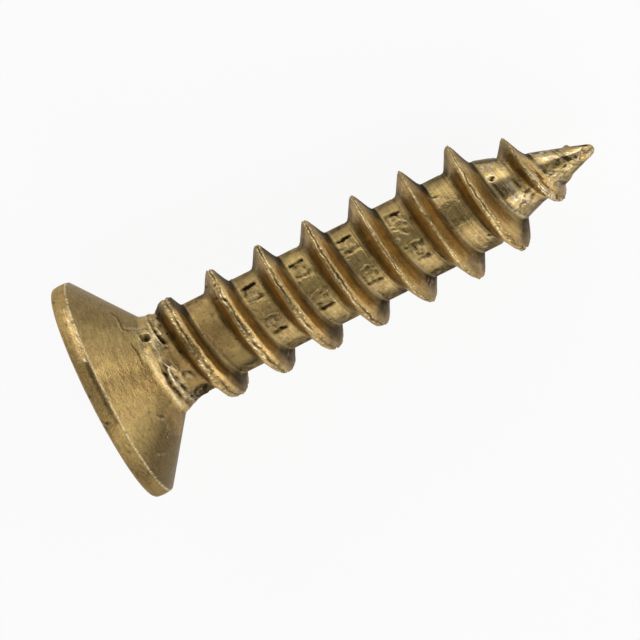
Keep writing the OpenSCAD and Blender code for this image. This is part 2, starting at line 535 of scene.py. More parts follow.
# --- Shank, thread and point ---------------------------------------------------------------------
@dataclass(frozen=True)
class Thread:
    """The neck, the shank, the rolled thread and the point, as rows that follow the helix."""

    neck_depth: float
    neck_radius: float
    neck_length: float = 0.66
    length: float = 15.93
    tip_radius: float = 0.13
    core: float = 1.295
    point_slope: float = math.tan(math.radians(18.3))
    # The radius that the point would have at its very end, if it weren't rounded off
    blunt: float = 0.1
    # From the start of the neck to the first row that follows the helix, and from the last to the tip
    start_gap: float = 0.045
    end_gap: float = 0.1
    neck_blend: float = 0.06
    ridge_blend: float = 0.08
    crest_lead: float = 0.53
    height: float = 0.635
    fall: float = 0.0125
    # The crest is a little fuller on one side, where the blank sat nearer the die
    fuller: float = 0.014
    # The radius at which the crest's noise is read
    noise_radius: float = 1.9
    # The flank that faces the point is the steeper one
    foot_before: float = 0.417
    foot_after: float = 0.36
    foot_thin: float = 0.34
    thinning: tuple[float, float] = (7, 9.5)
    root: float = 0.09
    # The root's blend reaches up the flank by this share of its reach on the land
    root_inside: float = 0.6
    # Where on the turn the helix lags, over how many degrees each way, and by how much
    lags: tuple[tuple[float, float, float], ...] = ((304, 56, 0.055), (184, 75, 0.04))
    rise_lead: float = 0.3
    rise_length: float = 1.15
    die_lead: float = 0.7
    die_length: float = 1.7
    # A ridge that hasn't its full height in the run-in keeps its flanks and has a wider flat
    run_in: float = 3.5
    unfilled_share: float = 0.8
    flank_slope: float = math.tan(math.radians(30))
    seam_depth: float = 0.055
    lip: float = 0.03
    # How wide the lip on the point's side is beside the other one, and where it narrows to that
    later_lip: float = 0.7
    narrowing: tuple[float, float] = (6, 9)
    # Shares of the crest's half width: how far its width varies, the seam wanders and the lips fray
    uneven: float = 0.25
    wandering: float = 0.4
    frayed: float = 0.16
    # How far the seam gapes at these depths
    gape_depths: tuple[float, ...] = (2.4, 8, 10, 11.6, 12.5)
    gapes: tuple[float, ...] = (1, 0.9, 0.3, 0.3, 0.8)
    # Heights of the ridge from which its seam, its lips and their marks are whole
    whole_seam: float = 0.2
    whole_lip: float = 0.1
    whole_mark: float = 0.3
    # Shares of the full height between which the rows go over to an even spacing
    spacing: tuple[float, float] = (0.12, 0.02)
    # The crest is broad where the thread starts and where the die was badly filled
    crest_depths: tuple[float, ...] = (2.4, 4.0, 5.5, 7.0, 8.4, 9.6, 11.0, 12.0, 13.0, 13.8)
    crest_widths: tuple[float, ...] = (0.33, 0.27, 0.24, 0.23, 0.21, 0.16, 0.12, 0.22, 0.22, 0.11)
    land_rows: int = 7
    root_rows: int = 2
    flank_rows: int = 7
    least_step: float = 0.002

    @property
    def shank_depth(self) -> float:
        """The depth at which the neck meets the shank."""
        return self.neck_depth + self.neck_length

    @property
    def first_crest(self) -> float:
        """The depth of the first crest, on the side that the screw lies on."""
        return self.neck_depth + self.crest_lead

    @property
    def point_depth(self) -> float:
        """The depth at which the shank starts to taper."""
        return self.length - (self.core - self.blunt) / self.point_slope

    @property
    def start(self) -> float:
        """The depth of the first row that follows the helix."""
        return self.neck_depth + self.start_gap

    @property
    def end(self) -> float:
        """The depth of the last row that follows the helix."""
        return self.length - self.end_gap

    def body(self, depth: np.ndarray) -> np.ndarray:
        """Finds the radius under the thread, of the neck, the shank and the point.

        Args:
            depth: Distance from the flat of the head.

        Returns:
            The radius at each depth.
        """
        slope = (self.neck_radius - self.core) / self.neck_length
        neck = self.neck_radius - slope * (depth - self.neck_depth)
        shank = np.minimum(self.core, self.core - self.point_slope * (depth - self.point_depth))
        back = np.clip(depth - (self.length - self.tip_radius), 0, self.tip_radius)
        cap = np.sqrt(np.maximum(self.tip_radius**2 - back**2, 0))
        ending = depth > self.length - self.tip_radius
        return np.where(ending, np.minimum(shank, cap), blend_max(neck, shank, self.neck_blend))

    def share(self, depth: np.ndarray) -> np.ndarray:
        """Finds the share of its full height that the thread has.

        Args:
            depth: The depth of the crest.

        Returns:
            The share, from 0 to 1.
        """
        risen = (depth - self.shank_depth + self.rise_lead) / self.rise_length
        left = (self.length - self.die_lead - depth) / self.die_length
        return np.sin(np.pi / 2 * np.clip(risen, 0, 1)) * np.clip(left, 0, 1)

    def template(self) -> tuple[np.ndarray, np.ndarray]:
        """The rows of one turn, from mid-land over the crest to the next mid-land.

        Returns:
            The part of the outline that each row is in, and its share of the way through it.
            Part 0 is the land, 1 the root, 2 the flank and 3 the crest, with a minus sign on
            the side of the head.
        """
        counts = (self.land_rows, self.root_rows, self.flank_rows)
        parts = [part + 0.5 for part, count in enumerate(counts) for _ in range(count)]
        shares = [row / count for count in counts for row in range(count)]
        crest = [-step for step in CREST_STEPS[:0:-1]] + list(CREST_STEPS)
        all_parts = [-p for p in parts] + [3.5] * len(crest) + parts[:0:-1]
        all_shares = shares + crest + shares[:0:-1]
        return np.array(all_parts), np.array(all_shares)

    def build(self, skin: Skin, ripple: Unevenness, first: np.ndarray) -> np.ndarray:
        """Adds everything from the neck to the end of the point.

        Args:
            skin: The surface that it is added to.
            ripple: The unevenness of the crest.
            first: The indices of the ring that it starts from.

        Returns:
            The index of each point of the last ring.
        """
        parts, shares = self.template()
        rows = len(parts)
        turns = np.arange(-2, math.ceil((self.length - self.first_crest) / PITCH) + 2)
        turn, row = np.repeat(turns, rows), np.tile(np.arange(rows), len(turns))
        angle = np.broadcast_to(ANGLES, (len(turn), COLUMNS))
        crest = self.first_crest + PITCH * (turn[:, None] + angle / 360)
        even = (row[:, None] / rows - 0.5) * PITCH
        offset, height, seam = self.outline(parts[row][:, None], shares[row][:, None], even, crest,
                                            angle, ripple)
        # The helix is a little drunken, as rolled threads are
        lag = np.zeros_like(crest)
        for centre, reach, much in self.lags:
            lag += much * np.clip(1 - (turn_apart(angle, centre) / reach) ** 2, 0, 1) ** 2
        depth = crest + offset - lag * np.cos(np.clip(offset / PITCH, -0.5, 0.5) * np.pi)
        # No row falls back behind the one before it, so that the skin never folds over
        steps = self.least_step * np.arange(len(turn))[:, None]
        depth = np.maximum.accumulate(depth - steps, axis=0) + steps
        radius = self.body(depth)
        neck = self.body(np.minimum(depth, self.shank_depth))
        ridge = np.minimum(radius, self.core) + height
        near_neck = depth < self.shank_depth + 0.2
        radius = np.where(near_neck, blend_max(neck, ridge, self.ridge_blend), radius + height)
        x = radius * np.cos(np.radians(angle))
        y = radius * np.sin(np.radians(angle))
        wave = 2 * np.pi * offset / PITCH
        around = PITCH / (2 * np.pi)
        weave = np.stack([around * np.cos(wave), around * np.sin(wave), MARK_WIDTH * depth],
                         axis=-1)
        used = (depth > self.start) & (depth < self.end)
        # Rows above the start fall on the ring before them, and rows past the end on the last
        index = np.full(depth.shape, -1)
        zone = np.where(depth < self.point_depth, Zone.THREAD, Zone.POINT)
        index[used] = skin.add(zone[used], np.stack([x, y, depth], axis=-1)[used], weave[used],
                               angle[used], offset[used], seam[used])
        last = self.add_tip_ring(skin, self.end)
        index = np.where(depth <= self.start, first[None], index)
        index = np.where(depth >= self.end, last[None], index)
        wrapped = np.concatenate([index[rows:, :1], np.repeat(last[None, :1], rows, axis=0)])
        skin.bridge(np.concatenate([index, wrapped], axis=1))
        return last

    def outline(self, part: np.ndarray, share: np.ndarray, even: np.ndarray, crest: np.ndarray,
                angle: np.ndarray, ripple: Unevenness) -> tuple[np.ndarray, np.ndarray, np.ndarray]:
        """Places the rows of the thread.

        Args:
            part: The part of the outline that each row is in.
            share: Its share of the way through that part.
            even: The distance from the crest that it takes where there is no thread.
            crest: The depth of the crest at each point.
            angle: The angle round the axis.
            ripple: The unevenness of the crest.

        Returns:
            The distance along the axis from the crest, the height above the shank, and where
            the point lies on the seam.
        """
        grown = self.share(crest)
        turn = np.radians(angle)
        side = np.sin(turn)
        full = self.height - self.fall * np.maximum(0, self.point_depth - crest)
        full = full + self.fuller * side
        top = grown * full
        # Along the helix the noise is read by angle and depth, so that it has no joint
        place = np.stack([self.noise_radius * np.cos(turn), self.noise_radius * side, crest],
                         axis=-1).reshape(-1, 3)
        width, wander, lip_left, lip_right, gape = [
            ripple.layered(place * scale + shift).reshape(crest.shape)
            for scale, shift in ((1.1, 7), (2.6, 0), (8.5, 31), (8.5, 57), (1.8, 83))]
        starting = crest < self.first_crest + self.run_in
        unfilled = self.unfilled_share * full * (1 - grown) * self.flank_slope
        flat = np.interp(crest, self.crest_depths, self.crest_widths) / 2
        flat = flat * np.minimum(1 - 0.3 * side, 1.2)
        flat = flat * np.clip(1 + self.uneven * width, 0.7, 1.3)
        half = flat + np.where(starting, unfilled, 0)

        # Each part of the outline runs from one of these distances to the next
        which = np.floor(np.abs(part))
        on_crest = which == 3
        sign = np.where(on_crest, np.sign(share), np.sign(part))
        after = np.interp(crest, self.thinning, [self.foot_after, self.foot_thin])
        filled = np.where(starting, 1, np.clip(top / full, 0.05, 1))
        foot = np.maximum(np.where(sign < 0, self.foot_before, after) * filled, half + 0.02)
        later = np.interp(crest, self.narrowing, [1, self.later_lip])
        edge = np.where(sign > 0, half * later, half)
        ends = (PITCH / 2, foot + self.root, foot - self.root * self.root_inside, edge)
        away = np.select([which == 0, which == 1, which == 2],
                         [start + (end - start) * share for start, end in zip(ends, ends[1:])], 0)
        aside = np.abs(share)
        meander = self.wandering * np.minimum(half, 0.11) * np.clip(1.3 * wander, -1, 1)
        meander = meander * (1 - aside)
        ragged = self.frayed * half * np.where(share < 0, lip_right, lip_left) * aside
        offset = np.where(on_crest, share * edge + meander + ragged, sign * away)
        offset = offset + (even - offset) * ease(*self.spacing, grown)

        slope = top / np.maximum(foot - edge, 1e-6)
        flanks = blend_max((foot - np.abs(offset)) * slope, np.zeros_like(offset), self.root)
        # The two lips were pushed up from the flanks and met in a seam along the crest
        lips, dip, bottom = [np.interp(aside, CREST_STEPS, form) for form in (
            (0, 0.4, 1, 0.4, 0.2), (1, 0.4, 0, 0.25, 0.8), (1, 0.1, -1, -0.2, 0))]
        opened = np.clip(0.7 + 0.9 * gape, 0.15, 1.3)
        opened = opened * np.interp(crest, self.gape_depths, self.gapes)
        lips = self.lip * np.where(share < 0, lip_left, lip_right) * lips
        sunk = self.seam_depth * np.where(aside < 0.5, opened, 0.8) * dip
        crest_height = (top - sunk * np.minimum(1, top / self.whole_seam)
                        + lips * np.minimum(1, top / self.whole_lip))
        seam = np.where(bottom > 0, bottom * np.minimum(opened, 1), bottom)
        seam = seam * on_crest * np.clip(top / self.whole_mark, 0, 1)
        return offset, np.where(on_crest, crest_height, np.minimum(flanks, top)), seam

    def add_tip_ring(self, skin: Skin, depth: float) -> np.ndarray:
        """Adds one plain ring of the point.

        Args:
            skin: The surface that it is added to.
            depth: The depth of the ring.

        Returns:
            The ring's indices.
        """
        radius = float(self.body(np.array(depth)))
        turn = np.radians(ANGLES)[None]
        index = skin.add_rings(Zone.POINT, radius * np.cos(turn), radius * np.sin(turn),
                               np.full_like(turn, depth), np.array([depth]))
        return index[0]

    def close_tip(self, skin: Skin, last: np.ndarray) -> None:
        """Rounds off the end of the point.

        Args:
            skin: The surface that it is added to.
            last: The indices of the ring that it starts from.
        """
        rings = [last]
        for share in (0.3, 0.55, 0.78, 0.94):
            rings.append(self.add_tip_ring(skin, self.end + (self.length - self.end) * share))
        rings.append(np.full(COLUMNS, rings[-1][0]))
        skin.bridge(closed(np.stack(rings)))


# --- Wear, flaws, and painted light and shade ----------------------------------------------------
@dataclass(frozen=True)
class Crack:
    """A lap, crack or, where cut is negative, a ridge: a chain of (angle, depth) points."""

    route: tuple[tuple[float, float], ...]
    width: float = 0.036
    cut: float = 0.045
    lip: float = 0.012
    dark: float = 1.0
    worn: float = 0.5
    # Distance between the chain's points, and how far it strays from its route
    step: float = 0.03
    stray: float = 0.03

    def chain(self, skin: Skin, ripple: Unevenness) -> np.ndarray:
        """Lays out the route as closely set points that wander a little.

        Args:
            skin: The surface, with every ring in place.
            ripple: The unevenness that frays the flaw.

        Returns:
            Rows of x, y and z.
        """
        corners = np.array([skin.spot(*point) for point in self.route])
        runs = [np.linspace(a, b, max(3, int(np.linalg.norm(b - a) / self.step)), endpoint=False)
                for a, b in zip(corners, corners[1:])]
        points = np.concatenate(runs + [corners[-1:]])
        return points + self.stray * np.stack(
            [ripple.layered(points * 3 + shift) for shift in (5, 25, 45)], axis=1)

    def apply(self, skin: Skin, ripple: Unevenness) -> None:
        """Cuts the crack, shallower at its ends, and raises the lip beside it.

        Args:
            skin: The surface, with every ring in place.
            ripple: The unevenness that frays the flaw.
        """
        chain = self.chain(skin, ripple)
        which, distance, nearest = skin.near(chain, self.width * 4)
        ends = np.minimum(np.arange(len(chain)), np.arange(len(chain))[::-1]) / 4 + 0.25
        strength = np.clip(ends, 0, 1)[nearest] * (0.8 + 0.5 * ripple.at(skin.place[which] * 7))
        strength = np.clip(strength, 0, 1)
        groove = np.exp(-((distance / self.width) ** 2)) * strength
        beside = np.exp(-(((distance - 2 * self.width) / self.width) ** 2)) * strength
        beside = beside * (skin.depth[which] < chain[nearest, 2])
        skin.stain(which, lift=self.lip * beside - self.cut * groove, crevice=self.dark * groove,
                   worn=self.worn * (beside if self.cut > 0 else groove))


@dataclass(frozen=True)
class Pit:
    """A round pit or, where deep is negative, a burr that stands proud."""

    angle: float
    depth: float
    radius: float
    deep: float
    dark: float = 1.0

    def apply(self, skin: Skin, ripple: Unevenness) -> None:
        """Sinks the pit with a soft raised rim.

        Args:
            skin: The surface, with every ring in place.
            ripple: The unevenness that frays the flaw.
        """
        centre = skin.spot(self.angle, self.depth)
        which, distance, _ = skin.near(centre[None], self.radius * 2.4)
        span = distance / self.radius * (1 + 0.15 * ripple.at(skin.place[which] * 8))
        inside = ease(1.15, 0.45, span)
        rim = np.exp(-(((span - 1.4) / 0.35) ** 2))
        skin.stain(which, lift=0.12 * abs(self.deep) * rim - self.deep * inside,
                   crevice=self.dark * inside, worn=0.35 * rim * min(1.0, abs(self.deep) * 20))


@dataclass(frozen=True)
class DieMark:
    """A plain rectangular dent from the rolling die, with a torn, wrinkled bottom."""

    angle: float
    depth: float
    side: Side
    # How dark the painted shadow line along the deepest edge is
    shadow_line: float = 1.0
    length: float = 0.5
    width: float = 0.56
    sink: float = 0.036

    def apply(self, skin: Skin, ripple: Unevenness) -> None:
        """Sinks the dent, deepest at one edge, and paints a shadow line along that edge.

        Args:
            skin: The surface, with every ring in place.
            ripple: The unevenness that frays the flaw.
        """
        turned = turn_apart(skin.angle, self.angle)
        arc = np.radians(turned) * skin.radius
        helix = skin.depth - self.depth - PITCH * turned / 360
        near = (np.abs(arc) < self.width) & (np.abs(helix) < self.length)
        which = np.flatnonzero(near & (skin.crest < NO_CREST))
        across = arc[which] / (self.width / 2)
        along = np.abs(helix[which]) / (self.length / 2)
        points = skin.place[which]
        ragged = 0.2 * ripple.layered(points * 4 + 9)
        frayed = ripple.layered(points * 4 + 44)
        wrinkle = ripple.layered(points * (5, 5, 9) + 60 + self.depth)
        inside = ease(1.12, 0.9, np.abs(across) + ragged) * ease(1.1, 0.9, along + ragged)
        border = 4 * inside * (1 - inside) * ease(-0.3, 0.5, frayed)
        deep = np.exp(-(((across * self.side + 0.9 * ragged - 0.84) / 0.17) ** 2))
        deep = deep * ease(1.05, 0.8, along + 0.5 * ragged) * np.clip(0.85 + 0.9 * frayed, 0.3, 1)
        # Painted shadow: the deepest edge is darkened as a shadow line; the wrinkles and the border
        # are darkened too
        dirt_and_shade = self.shadow_line * deep + 0.65 * inside * ease(0.15, 0.7, -wrinkle) + 0.45 * border
        skin.stain(which, lift=inside * (0.02 * wrinkle - 0.3 * self.sink) - self.sink * deep,
                   crevice=dirt_and_shade, tone=-0.12 * inside, worn=0.25 * inside * ease(0.1, 0.7, wrinkle))


@dataclass(frozen=True)
class Patch:
    """An area that is rougher, lighter, darker, higher or lumpier than the rest.

    Roughness, height and lumps come from the die or the barrel; in many areas the lighter tone
    is a painted highlight and the darker tone painted shade.

    wave is the size of its lumps along the axis and around is their size round the axis.
    """

    angles: tuple[float, float]
    depths: tuple[float, float]
    tone: float = 0.0
    matt: float = 0.0
    worn: float = 0.0
    crevice: float = 0.0
    bare: float = 0.0
    lump: float = 0.0
    brown: float = 0.0
    rise: float = 0.0
    wave: float = 0.2
    around: float = 0.2
    soft: float = 0.1
    land_only: bool = False

    def apply(self, skin: Skin, ripple: Unevenness) -> None:
        """Adds the area's marks, and lumps of one wavelength, with a ragged soft edge.

        Args:
            skin: The surface, with every ring in place.
            ripple: The unevenness that frays the flaw.
        """
        first, last = self.angles
        off = np.abs(turn_apart(skin.angle, (first + last) / 2)) - (last - first) / 2
        edge = np.maximum(np.radians(off) * skin.radius,
                          np.maximum(self.depths[0] - skin.depth, skin.depth - self.depths[1]))
        which = np.flatnonzero((edge < self.soft * 2) & (skin.zone >= Zone.RIM))
        points = skin.place[which]
        edge = edge[which] + 0.7 * self.soft * ripple.layered(points / 0.35 + 11)
        inside = ease(self.soft, -self.soft, edge)
        if self.land_only:
            crest = skin.crest[which]
            inside = inside * ease(*LAND_EDGE, np.abs(crest)) * (crest < NO_CREST)
        noise = ripple.layered(points / (self.around, self.around, self.wave) + 23)
        skin.stain(which, lift=(self.rise + self.lump * noise) * inside, tone=self.tone * inside,
                   matt=self.matt * inside, brown=self.brown * inside,
                   bare=self.bare * inside * ease(-0.3, 0.6, noise),
                   worn=self.worn * inside * ease(0.1, 0.9, noise),
                   crevice=self.crevice * inside * ease(0.25, 0.9, -noise))


Flaw = Crack | Pit | DieMark | Patch

# The laps and the crumpled metal where the head was upset from the wire
crumpled = partial(Patch, lump=0.016, wave=0.12, around=0.9, tone=-0.1)
ridge = partial(Crack, cut=-0.03, dark=0.0, worn=0.9)
NECK_FLAWS: tuple[Flaw, ...] = (
    # Folds round the neck, where it bulged out of the die
    crumpled((85, 198), (1.97, 2.5), crevice=0.45, worn=0.25, tone=-0.15, brown=0.4, soft=0.06),
    crumpled((198, 270), (2.12, 2.5), crevice=0.3, worn=0.1, soft=0.04),
    crumpled((100, 165), (2.2, 2.5), lump=0.02, wave=0.09, around=0.35, crevice=0.7, worn=0.4,
        soft=0.05),
    Patch((-90, 85), (1.95, 2.45), lump=0.02, wave=0.15, around=0.7, crevice=0.5, worn=0.3),
    Patch((180, 236), (2.15, 2.34), lump=0.02, wave=0.07, around=0.7, crevice=0.4, worn=1.3,
        bare=0.5, matt=-0.3, tone=0.15, soft=0.03),
    Patch((60, 108), (2.15, 2.52), lump=0.03, rise=0.06, wave=0.3, around=0.4, soft=0.08),
    Patch((158, 245), (1.84, 2.02), rise=0.045, tone=0.5, matt=-0.3, soft=0.05),
    # Brown, dark and pale areas beside them
    Patch((180, 285), (2.1, 2.9), brown=0.5),
    # Painted shade: darker and browner beside the neck on one side, under the cone
    Patch((229, 285), (2.15, 2.9), tone=-0.42, brown=0.6, soft=0.12),
    Patch((160, 205), (2.45, 2.85), tone=0.35, soft=0.08),
    Patch((100, 150), (2.1, 2.5), brown=0.6, matt=-0.4, soft=0.08),
    Patch((150, 195), (2.05, 2.45), tone=-0.2, matt=-0.5, brown=0.4, soft=0.06),
    Patch((120, 205), (2.5, 2.85), tone=-0.12, matt=-0.2, soft=0.05),
    Patch((146, 152), (1.9, 2.1), tone=0.5, soft=0.03),
    # Painted light: lighter on the cone beside the neck, against the cone's painted shade
    Patch((222, 262), (1.5, 1.95), tone=0.35, soft=0.15),
    Pit(144, 1.99, 0.135, 0.13, 0.75),
    Pit(156, 1.82, 0.05, 0.05),
    # The long lap on the upper side, then the creases under the cone's edge
    Crack(((95, 2.16), (126, 2.24), (142, 2.3), (153, 2.35), (160, 2.45)), 0.034, 0.07, lip=0.03,
        dark=1.6, worn=0.9),
    Crack(((186, 2.04), (205, 2.09), (227, 2.12), (262, 2.12)), 0.044, 0.08, lip=0.01, dark=1.8),
    Crack(((200, 2.28), (218, 2.33), (242, 2.35), (268, 2.36)), 0.04, 0.07, lip=0.02, dark=1.4,
        worn=0.7),
    Crack(((190, 2.22), (205, 2.23), (222, 2.26)), 0.03, 0.03, dark=1.1),
    Crack(((153, 2.14), (171, 2.17), (182, 2.1)), 0.03, 0.02, dark=0.5),
    Crack(((176, 2.14), (184, 2.27), (186, 2.36)), 0.032, 0.04, lip=0.02, dark=0.9),
    Crack(((164, 2.33), (166, 2.47)), 0.03, 0.04),
    # Ridges that were rubbed bright
    ridge(((104, 2.27), (132, 2.34), (150, 2.42))),
    ridge(((137, 1.77), (163, 1.82), (182, 1.86), (199, 1.9), (226, 1.94), (240, 1.95)), 0.045,
        cut=-0.035, worn=1.4),
    ridge(((188, 2.16), (206, 2.19), (236, 2.22)), 0.034, cut=-0.04, worn=1.3),
    ridge(((196, 2.25), (210, 2.29), (230, 2.3)), 0.03, worn=1.0),
    ridge(((182, 2.16), (190, 2.3), (196, 2.42)), 0.032),
    ridge(((213, 2.47), (207, 2.58), (213, 2.7))),
    ridge(((245, 2.5), (239, 2.64), (241, 2.82)), worn=0.8),
    # Two hooked folds between the neck and the first turn
    Crack(((208, 2.43), (200, 2.54), (204, 2.7), (214, 2.78)), cut=0.04, dark=0.9),
    Crack(((240, 2.45), (233, 2.6), (235, 2.85)), cut=0.03, dark=0.5),
    # The side that the screw lies on
    Crack(((20, 2.02), (50, 2.12), (85, 2.05)), 0.04, 0.05),
    Crack(((285, 2.12), (310, 2.04), (340, 2.12)), 0.04, 0.05),
    # Fine laps in the cone
    Crack(((116, 1.35), (120, 1.5), (135, 1.52), (135, 1.67), (127, 2.06))),
    Crack(((127, 2.06), (140, 2.16), (150, 2.1)), 0.032, 0.03, dark=0.7),
    Crack(((150, 1.61), (161, 1.69), (173, 1.67)), dark=0.8),
    Crack(((233, 1.21), (234, 1.35), (233, 1.48)), cut=0.012, dark=0.6),
    Crack(((228, 0.87), (234, 0.95), (240, 1.05)), cut=0.01, dark=0.5, worn=0.25),
    Crack(((212, 1.35), (223, 1.51)), cut=0.012, dark=0.5),
)

# Cracks, notches and scratches across the crests and flanks
scratch = partial(Crack, width=0.022, cut=0.008, dark=0.0, worn=1.2)
CREST_FLAWS: tuple[Flaw, ...] = (
    Crack(((141, 4.31), (148, 4.45), (155, 4.65)), 0.035, 0.05),
    Crack(((148, 4.45), (138, 4.52)), cut=0.04),
    Pit(132, 4.46, 0.06, 0.05),
    Pit(109, 4.17, 0.07, -0.05, 0.6),
    scratch(((158, 8.95), (161, 9.33))),
    scratch(((193, 12.2), (192, 12.35))),
    Crack(((90, 12.05), (96, 12.02)), 0.05, 0.05),
    Crack(((245, 9.93), (252, 10.05), (262, 10.15)), 0.04, 0.06),
    Pit(256, 10.22, 0.07, -0.05, 0.0),
    Crack(((225, 8.6), (240, 8.66)), cut=0.03, dark=0.7),
    Crack(((250, 5.35), (258, 5.5)), 0.035, 0.05),
)

# The lumps, the folded end of the thread and the nicked tip
ALL_ROUND, LAST_LAND, TIP = (0, 360), (12.5, 14.1), (14.2, 15.8)
hammered = partial(Patch, ALL_ROUND, lump=0.006, wave=0.25, around=0.3, matt=-1.1, bare=0.5,
    tone=0.12, soft=0.12)
POINT_FLAWS: tuple[Flaw, ...] = (
    hammered(LAST_LAND, land_only=True),
    hammered((14.1, 15.9), rise=0.03),
    Patch((245, 300), (14.35, 14.95), rise=0.06),
    Patch((60, 120), (12.5, 13.3), rise=0.035, land_only=True, soft=0.2),
    # Painted reflections along the point: dark bands of painted shade and bright bands of painted
    # highlight
    Patch((157, 190), (12.5, 14.0), tone=-0.5, land_only=True, soft=0.04),
    Patch((155, 187), (14.3, 15.7), tone=-0.6, soft=0.04),
    Patch((75, 116), (12.6, 14.6), tone=-0.85, land_only=True),
    Patch((112, 150), LAST_LAND, worn=0.9, land_only=True, soft=0.06),
    Patch((196, 222), LAST_LAND, worn=0.9, land_only=True, soft=0.06),
    Patch((105, 154), TIP, worn=1.1, soft=0.06),
    Patch((192, 225), TIP, worn=0.8, soft=0.06),
    # Lumps and creases
    Patch((195, 245), (13.1, 13.9), lump=0.03, wave=0.16, around=0.25, worn=0.6, crevice=0.3),
    Patch((180, 235), (14.0, 15.7), lump=0.022, wave=0.16, around=0.22, crevice=0.4, worn=0.5),
    Patch((100, 180), (14.0, 15.7), lump=0.008, crevice=0.2, worn=0.3),
    Patch((194, 235), (14.3, 14.75), lump=0.04, worn=0.5, matt=0.3),
    Crack(((161, 12.87), (186, 13.0), (210, 13.12), (247, 13.36)), cut=0.03, dark=0.9),
    Crack(((220, 13.33), (214, 13.42), (216, 13.52), (224, 13.6)), cut=0.03, lip=0.03),
    Crack(((184, 14.55), (189, 14.62), (204, 14.82), (213, 14.92)), 0.035, 0.07, 0.03),
    Crack(((213, 14.92), (225, 14.85), (236, 14.75)), 0.035, 0.07, 0.03),
    Crack(((230, 14.35), (245, 14.4)), 0.05, 0.06),
    Crack(((100, 15.62), (150, 15.64), (204, 15.63)), 0.025, 0.03),
    Crack(((183, 15.66), (178, 15.8), (174, 15.93)), 0.035, 0.04),
    Pit(201, 13.76, 0.08, -0.04, 0.0),
    Pit(92, 15.22, 0.08, -0.06, 0.0),
)


